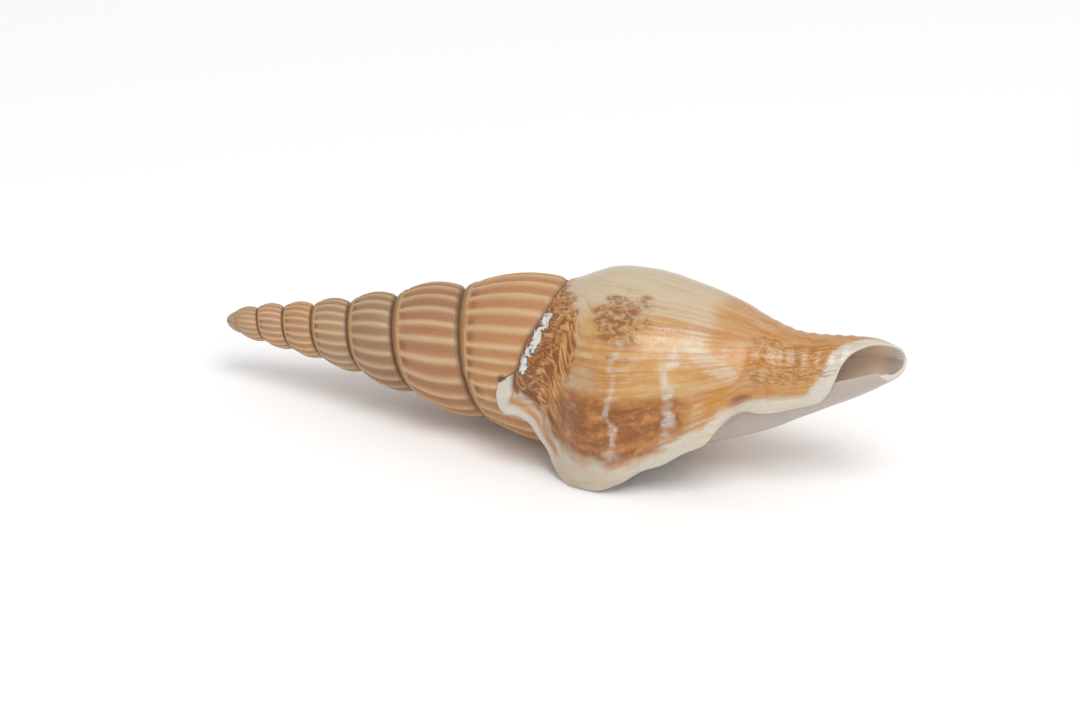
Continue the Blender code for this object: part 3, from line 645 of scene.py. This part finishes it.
def build_skin():
    """The closed skin of the shell: outside, lip, wall and core of the hollow, and the blunt tip."""
    skin = Skin()
    across, first_share, share = row_shares()
    turn, half_turn, last_row = COLUMNS_PER_TURN, COLUMNS_PER_TURN // 2, SEAM_ROWS + BODY_ROWS

    # Spire
    spire_columns = (-1 - FIRST_WHORL) * turn
    whorl = (FIRST_WHORL + np.arange(spire_columns + 1) / turn)[:, None]
    start, end = seam_place(whorl), seam_place(whorl + 1)
    x = start + (end - start) * across[None, :]
    radius = spire_radius(whorl, x)
    far = np.full(x.shape, FAR)
    radius = radius + relief(whorl + 0 * x, x, far, far) * np.minimum(radius / 2, 1)
    wear = smooth((x - 0.8) / 2.5)
    paint = layer(NUB + 0 * x[..., None], spire_paint(whorl + 0 * x, x), wear)
    strip = skin.add(place_points(whorl * 360, x, radius), paint, whorl * 60,
                     (x - start) / (end - start) * 26, striae=wear, lines=0.25, gloss=0.35)

    # Last whorl; past half a turn its columns lean forward to meet the lip's edge
    column = (-360 + 360 * np.arange(turn + 1) / turn)[:, None]
    seam, rim = seam_place(column / 360), rim_place(column)
    lip_share = share**ROW_SPREAD
    ease = smooth((column + 360) / 150)
    x = seam + (rim - seam) * (first_share * (1 - ease) + lip_share * ease)
    edge_angle, edge_radius = lip_angle(x[-1]), lip_radius(x[-1])
    angle = np.where(column <= -180, column, -180 + (edge_angle + 180) * (column + 180) / 180)
    flare = np.clip((angle - FLARE_START) / (edge_angle - FLARE_START), 0, 1)**2
    radius = body_radius(seam, angle, x)
    radius = radius + (edge_radius - body_radius(seam[-1:], edge_angle[None, :], x[-1:])) * flare
    least = covered_radius(angle, x) + (CREVICE + THIN_WALL) * smooth(share / 0.03)
    radius = radius + np.maximum(least - radius, 0) * smooth((angle + 25) / 25)
    radius[:, 0] = seam_radius(seam[:, 0])
    radius[0, :SEAM_ROWS + 1] = spire_radius(-1.0, x[0, :SEAM_ROWS + 1])
    plain_points = place_points(angle, x, radius)
    edge, edge_x = edge_distance(plain_points, plain_points[-1], x[-1])
    edge[:half_turn] = FAR
    outer_whorl = column / 360 + 0 * x
    bare = radius.copy()
    covered_edge = np.where(column < -355, np.clip((41.2 - x) / 0.4, 0, 1), 1.0)
    radius = radius + relief(outer_whorl, x, edge, edge_x, angle) * covered_edge
    above_wall = covered_radius(angle, x) + (CREVICE + 0.6 * THIN_WALL) * smooth(share / 0.02)
    radius = np.where((angle > -25) & (share > 0.001), np.maximum(radius, above_wall), radius)
    paint, mottle, lines = body_paint(outer_whorl, angle, x, edge, edge_x)
    chip = stroke(angle * MM_PER_DEGREE, x, CHIP, 0.72, fractal(angle * 0.3, x * 1.1, 71))
    chip = chip * smooth((angle + 80) / 10) * (1 - smooth((angle + 8) / 4))
    radius = radius - 0.12 * chip * smooth((x - seam) / 0.4)
    early = (1 - smooth((outer_whorl + 0.93) / 0.22)) * (1 - smooth((x - 52) / 10))
    body = skin.add(place_points(angle, x, radius), paint, column / 5, x, mottle, lines,
                    striae=early * 0.8, gloss=0.75, chip=chip)
    skin.join(body[0, SEAM_ROWS], body[turn, 0])
    skin.join(strip[-1, :SEAM_ROWS], body[0, :SEAM_ROWS])
    seam_line = np.concatenate([strip[:-1, 0], body[:, 0]])
    skin.join(strip[:, SEAM_ROWS], seam_line[turn:])
    skin.grid(strip)
    skin.grid(body)

    # Inside of the outer wall, over the last half turn
    late = column[half_turn:]
    corner_x, corner_radius = mouth_corner(late)
    wall_x = corner_x + (rim[half_turn:] - corner_x) * lip_share
    outer_columns = x[half_turn:], bare[half_turn:], angle[half_turn:]
    outside = np.array([np.interp(a, b, c) for a, b, c in zip(wall_x, outer_columns[0], outer_columns[1])])
    wall_angle = np.array([np.interp(a, b, c) for a, b, c in zip(wall_x, outer_columns[0], outer_columns[2])])
    wall_angle = late + (wall_angle - late) * smooth(share / 0.05)
    wall_x[-1], wall_angle[-1], outside[-1] = x[-1], angle[-1], bare[-1]
    thickness = WALL + (LIP_THICKNESS - WALL) * smooth((wall_angle + 60) / 90)
    thickness = thickness * (1 - 0.35 * smooth((wall_x - 72) / 14))
    leave = np.where(late < 0, smooth(share / 0.10), smooth(share / 0.02))
    wall_radius = (1 - leave) * corner_radius + leave * (outside - thickness)
    below = np.where(wall_angle > 0, covered_radius(wall_angle, wall_x), pillar_radius(wall_angle, wall_x))
    wall_radius = np.maximum(wall_radius, below + CREVICE * smooth(share / 0.02))
    wall_radius[:, 0] = corner_radius[:, 0]
    deep = smooth(-wall_angle / 120)[..., None]
    canal = (smooth((wall_x - 74) / 6) * (1 - smooth((wall_x - rim[half_turn:] + 2.2) / 1.4)))[..., None]
    paint = WHITE * (1 - deep) + INNER * deep
    paint = paint * (1 - canal * deep) + DEEP_CANAL * canal * deep
    wall = skin.add(place_points(wall_angle, wall_x, wall_radius), paint, late / 5, wall_x, gloss=0.9)
    skin.join(wall[-1, 0], body[turn, 0])
    skin.grid(wall, flip=True)

    # Core of the hollow: the pillar behind the mouth, which opens into the canal's floor
    back = -column[:half_turn + 1] - 360
    along = np.linspace(0, 1, BODY_ROWS + 1)
    corner_x, corner_radius = mouth_corner(back)
    pillar_x = corner_x + (float(rim_place(-360)) - corner_x) * along
    pillar = np.where(back == 0, mouth_side(pillar_x), pillar_radius(back, pillar_x))
    pillar[:, 0] = corner_radius[:, 0]
    pillar_points = place_points(back, pillar_x, pillar)
    floor_x, floor_radius = x[:half_turn + 1, SEAM_ROWS:], bare[:half_turn + 1, SEAM_ROWS:]
    floor_wall = WALL * (1 - 0.35 * smooth((floor_x - 72) / 14)) * smooth(-back / 30)
    floor_points = place_points(column[:half_turn + 1], floor_x, floor_radius - floor_wall)
    into_floor = smooth((along - CORE_TO_CANAL) / (1 - CORE_TO_CANAL))[:, None]
    core_points = pillar_points * (1 - into_floor) + floor_points * into_floor
    shade = smooth(-back / 60)[..., None] * (1 - smooth((along - 0.92) / 0.06))[None, :, None]
    dark = (smooth((along - 0.55) / 0.25))[None, :, None]
    # Near the mouth the core gets the grey columella colour: its white darkened with painted shade under the
    # lip
    paint = COLUMELLA_AND_PAINTED_SHADE * (1 - shade) + (INNER * (1 - dark) + DEEP_CANAL * dark) * shade
    core = skin.add(core_points, paint, back / 5, pillar_x, gloss=0.9)
    skin.join(core[0], body[0, SEAM_ROWS:])
    skin.join(core[1:, 0], wall[::-1, 0][1:])
    skin.join(core[half_turn, BODY_ROWS], wall[0, last_row])
    skin.grid(core, flip=True)
    skin.zipper(wall[0], core[half_turn])

    # Rounded edges of the lip and of the canal's rim, which share their last row
    points = skin.points()
    rim_way = unit(points[body[:, -1]] - points[body[:, -2]])
    lip_way = unit(points[body[-1]] - points[body[-2]])
    corner_way = unit(rim_way[-1] + lip_way[-1])
    near_corner = smooth((np.arange(turn + 1) / turn - 0.93) / 0.07)[:, None]
    rim_way = unit(rim_way * (1 - near_corner) + corner_way * near_corner)
    near_corner = smooth((share - 0.95) / 0.05)[:, None]
    lip_way = unit(lip_way * (1 - near_corner) + corner_way * near_corner)
    lip = rounded_edge(skin, body[-1], wall[-1], lip_way)
    inner_rim = np.concatenate([core[:half_turn, -1], wall[:, -1]])
    rim_rows = rounded_edge(skin, body[:, -1], inner_rim, rim_way)
    for row in range(1, EDGE_STEPS):
        skin.join(rim_rows[row, -1], lip[row, -1])
        skin.join(rim_rows[row, 0], body[0, -1])
        skin.join(lip[row, 0], body[turn, 0])
    skin.grid(lip)
    skin.grid(rim_rows, flip=True)

    add_tip(skin, strip)
    return skin


def build_shell():
    """The mesh of the whole shell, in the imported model's place, with its looks on each face corner."""
    skin = build_skin()
    faces, corners = [], []
    for face in skin.faces:
        placed = [skin.place_of(number) for number in face]
        kept = [i for i, number in enumerate(placed) if number != placed[i - 1]]
        if len(kept) > 2 and len({placed[i] for i in kept}) == len(kept):
            faces.append([placed[i] for i in kept])
            corners.extend(face[i] for i in kept)
    used = np.array(sorted({number for face in faces for number in face}))
    renumber = {int(number): i for i, number in enumerate(used)}
    points = skin.points()[used] @ np.array(rest_turn()).T + SETTLED
    points[:, 2] = np.maximum(points[:, 2], 0.0)
    mesh = bpy.data.meshes.new("conch_shell")
    mesh.from_pydata((points * MM).tolist(), [], [[renumber[n] for n in face] for face in faces])
    looks = np.concatenate(skin.looks)[np.array(corners)]
    shades = np.concatenate([looks[:, :3], np.ones((len(looks), 1))], 1)
    grain = np.stack([looks[:, 3], looks[:, 4], 0 * looks[:, 3]], -1)
    amounts = looks[:, 5:8]
    finish = np.stack([looks[:, 8], looks[:, 9], 0 * looks[:, 8]], -1)
    mesh.attributes.new("paint", "FLOAT_COLOR", "CORNER").data.foreach_set("color", shades.ravel())
    for name, values in (("grain", grain), ("amounts", amounts), ("finish", finish)):
        mesh.attributes.new(name, "FLOAT_VECTOR", "CORNER").data.foreach_set("vector", values.ravel())
    mesh.polygons.foreach_set("use_smooth", [True] * len(mesh.polygons))
    mesh.update()
    shell = bpy.data.objects.new("conch_shell", mesh)
    bpy.context.scene.collection.objects.link(shell)
    return shell


class Nodes:
    """Short calls that add nodes to a material."""

    def __init__(self, material):
        material.use_nodes = True
        self.tree = material.node_tree
        self.shader = self.tree.nodes["Principled BSDF"]

    def feed(self, socket, value):
        if isinstance(value, bpy.types.NodeSocket):
            self.tree.links.new(value, socket)
        else:
            socket.default_value = value

    def attribute(self, name, output="Vector"):
        node = self.tree.nodes.new("ShaderNodeAttribute")
        node.attribute_name = name
        return node.outputs[output]

    def split(self, vector):
        node = self.tree.nodes.new("ShaderNodeSeparateXYZ")
        self.feed(node.inputs[0], vector)
        return node.outputs

    def scaled(self, vector, factors):
        node = self.tree.nodes.new("ShaderNodeVectorMath")
        node.operation = "MULTIPLY"
        self.feed(node.inputs[0], vector)
        node.inputs[1].default_value = factors
        return node.outputs[0]

    def noise(self, vector, scale, detail=3.0, distortion=0.0):
        node = self.tree.nodes.new("ShaderNodeTexNoise")
        self.feed(node.inputs["Vector"], vector)
        node.inputs["Scale"].default_value = scale
        node.inputs["Detail"].default_value = detail
        node.inputs["Distortion"].default_value = distortion
        return node.outputs["Fac"]

    def math(self, operation, a, b=0.0, clamp=False):
        node = self.tree.nodes.new("ShaderNodeMath")
        node.operation = operation
        node.use_clamp = clamp
        self.feed(node.inputs[0], a)
        self.feed(node.inputs[1], b)
        return node.outputs[0]

    def ramp(self, value, low, high, to_low=0.0, to_high=1.0):
        node = self.tree.nodes.new("ShaderNodeMapRange")
        node.interpolation_type = "SMOOTHSTEP"
        for socket, item in zip(node.inputs, (value, low, high, to_low, to_high)):
            self.feed(socket, item)
        return node.outputs[0]

    def mix(self, factor, a, b, blend="MIX"):
        node = self.tree.nodes.new("ShaderNodeMix")
        node.data_type = "RGBA"
        node.blend_type = blend
        self.feed(node.inputs["Factor"], factor)
        self.feed(node.inputs[6], a)
        self.feed(node.inputs[7], b)
        return node.outputs[2]


def shell_material():
    """Fine lines, mottling, chips and gloss over the painted colours."""
    material = bpy.data.materials.new("conch_shell")
    n = Nodes(material)
    paint = n.attribute("paint", "Color")
    grain = n.attribute("grain")
    mottle, lines, striae = n.split(n.attribute("amounts"))
    gloss, chip, _ = n.split(n.attribute("finish"))
    place = n.tree.nodes.new("ShaderNodeTexCoord").outputs["Object"]
    solid = n.scaled(place, (1000, 1000, 1000))

    # Growth lines run along the axis, spiral striae round it
    growth = n.noise(n.scaled(grain, (2.2, 0.10, 1.0)), 1.0, 4.0)
    broad = n.noise(n.scaled(grain, (0.55, 0.05, 1.0)), 1.0, 3.0)
    spiral = n.math("SINE", n.math("MULTIPLY", n.split(grain)[1], 2 * math.pi))
    spiral = n.math("MULTIPLY", n.math("MULTIPLY", spiral, 0.5), striae)
    speck = n.noise(solid, 2.4, 4.0)
    worms = n.noise(n.scaled(grain, (2.0, 1.0, 1.0)), 1.0, 4.0, 1.0)

    fine = n.math("MULTIPLY", n.ramp(growth, 0.42, 0.66), n.math("MULTIPLY", lines, 0.65))
    color_now = n.mix(fine, paint, (*GROWTH_LINE, 1))
    wide = n.math("MULTIPLY", n.ramp(broad, 0.56, 0.72), n.math("MULTIPLY", lines, 0.30))
    color_now = n.mix(wide, color_now, (*CREAM, 1))
    dark_marks = n.math("MULTIPLY", n.ramp(worms, 0.46, 0.58), mottle)
    light_marks = n.math("MULTIPLY", n.ramp(worms, 0.46, 0.34), mottle)
    color_now = n.mix(n.math("MULTIPLY", dark_marks, 0.85), color_now, (*DARK_MARK, 1))
    color_now = n.mix(n.math("MULTIPLY", light_marks, 0.55), color_now, (*LIGHT_MARK, 1))
    color_now = n.mix(n.ramp(spiral, 0.0, -0.5, 0.0, 0.10), color_now, (*STRIA, 1), "MULTIPLY")
    color_now = n.mix(n.ramp(speck, 0.40, 0.80, 0.0, 0.08), color_now, (*SPECK, 1), "MULTIPLY")
    ragged = n.math("ADD", chip, n.math("MULTIPLY", n.math("SUBTRACT", speck, 0.5), 1.1))
    chipped = n.ramp(ragged, 0.42, 0.58)
    chip_color = n.mix(n.ramp(n.math("ADD", ragged, n.noise(solid, 1.6, 4.0)), 1.22, 1.50),
                       (*CHIP_EDGE, 1), (*CHIP_WHITE, 1))
    color_now = n.mix(chipped, color_now, chip_color)
    n.feed(n.shader.inputs["Base Color"], color_now)

    rough = n.ramp(gloss, 0.3, 0.75, 0.52, 0.24)
    rough = n.math("ADD", rough, n.ramp(speck, 0.3, 0.7, -0.05, 0.09))
    rough = n.math("ADD", rough, n.math("MULTIPLY", chipped, 0.3), clamp=True)
    n.feed(n.shader.inputs["Roughness"], rough)
    n.shader.inputs["Specular IOR Level"].default_value = 0.55
    height = n.math("MULTIPLY", n.math("SUBTRACT", growth, 0.5), n.math("ADD", lines, 0.25))
    height = n.math("ADD", height, n.math("MULTIPLY", spiral, 0.30))
    height = n.math("ADD", height, n.math("MULTIPLY", dark_marks, -0.35))
    height = n.math("ADD", height, n.math("MULTIPLY", n.math("MULTIPLY", chipped, speck), 2.0))
    bump = n.tree.nodes.new("ShaderNodeBump")
    bump.inputs["Strength"].default_value = 0.55
    bump.inputs["Distance"].default_value = 0.05 * MM
    n.feed(bump.inputs["Height"], height)
    n.feed(n.shader.inputs["Normal"], bump.outputs["Normal"])
    return material


def add_camera():
    """The photograph's view: from the lip side, a little toward the canal and above."""
    swing, rise, pitch = map(math.radians, (VIEW_SWING, VIEW_RISE, VIEW_PITCH))
    back = Vector((math.sin(swing) * math.cos(rise), -math.cos(swing) * math.cos(rise), math.sin(rise)))
    right = Vector((math.cos(swing), math.sin(swing), 0))
    up = back.cross(right)
    seen = Matrix.Rotation(-pitch, 3, "Y")
    place = seen @ Vector((VIEW_CENTRE, 0, 0)) + back * VIEW_DISTANCE
    place = place - right * VIEW_SHIFT[0] - up * VIEW_SHIFT[1]
    turn = rest_turn() @ seen.transposed()
    data = bpy.data.cameras.new("camera")
    data.sensor_width = SENSOR
    data.lens = LENS
    data.clip_start = 0.01
    camera = bpy.data.objects.new("camera", data)
    rotation = turn @ Matrix((right, up, back)).transposed()
    camera.matrix_world = Matrix.Translation((turn @ place + Vector(SETTLED)) * MM) @ rotation.to_4x4()
    bpy.context.scene.collection.objects.link(camera)
    bpy.context.scene.camera = camera


def add_light(name, place, size, energy):
    """A square white light that faces the shell."""
    data = bpy.data.lights.new(name, "AREA")
    data.size = size
    data.energy = energy
    light = bpy.data.objects.new(name, data)
    light.location = place
    light.rotation_euler = (-Vector(place)).to_track_quat("-Z", "Y").to_euler()
    bpy.context.scene.collection.objects.link(light)


def add_studio():
    """A pale floor and soft light from above."""
    mesh = bpy.data.meshes.new("floor")
    corners = [(x * FLOOR_REACH, y * FLOOR_REACH, 0) for x, y in ((-1, -1), (1, -1), (1, 1), (-1, 1))]
    mesh.from_pydata(corners, [], [(0, 1, 2, 3)])
    floor = bpy.data.objects.new("floor", mesh)
    bpy.context.scene.collection.objects.link(floor)
    material = bpy.data.materials.new("floor")
    material.use_nodes = True
    shader = material.node_tree.nodes["Principled BSDF"]
    shader.inputs["Base Color"].default_value = FLOOR_SHADE
    shader.inputs["Roughness"].default_value = 0.9
    mesh.materials.append(material)
    world = bpy.data.worlds.new("studio")
    world.use_nodes = True
    world.node_tree.nodes["Background"].inputs["Color"].default_value = (1, 1, 1, 1)
    world.node_tree.nodes["Background"].inputs["Strength"].default_value = WORLD_STRENGTH
    bpy.context.scene.world = world
    add_light("key", (0.26, -0.30, 0.72), 0.45, 3.3)
    add_light("fill", (0.5, -0.5, 0.45), 0.30, 0.5)


add_camera()
add_studio()
bpy.context.scene.view_settings.view_transform = "Standard"
shell = build_shell()
shell.data.materials.append(shell_material())
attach(shell, "root")
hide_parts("shell")
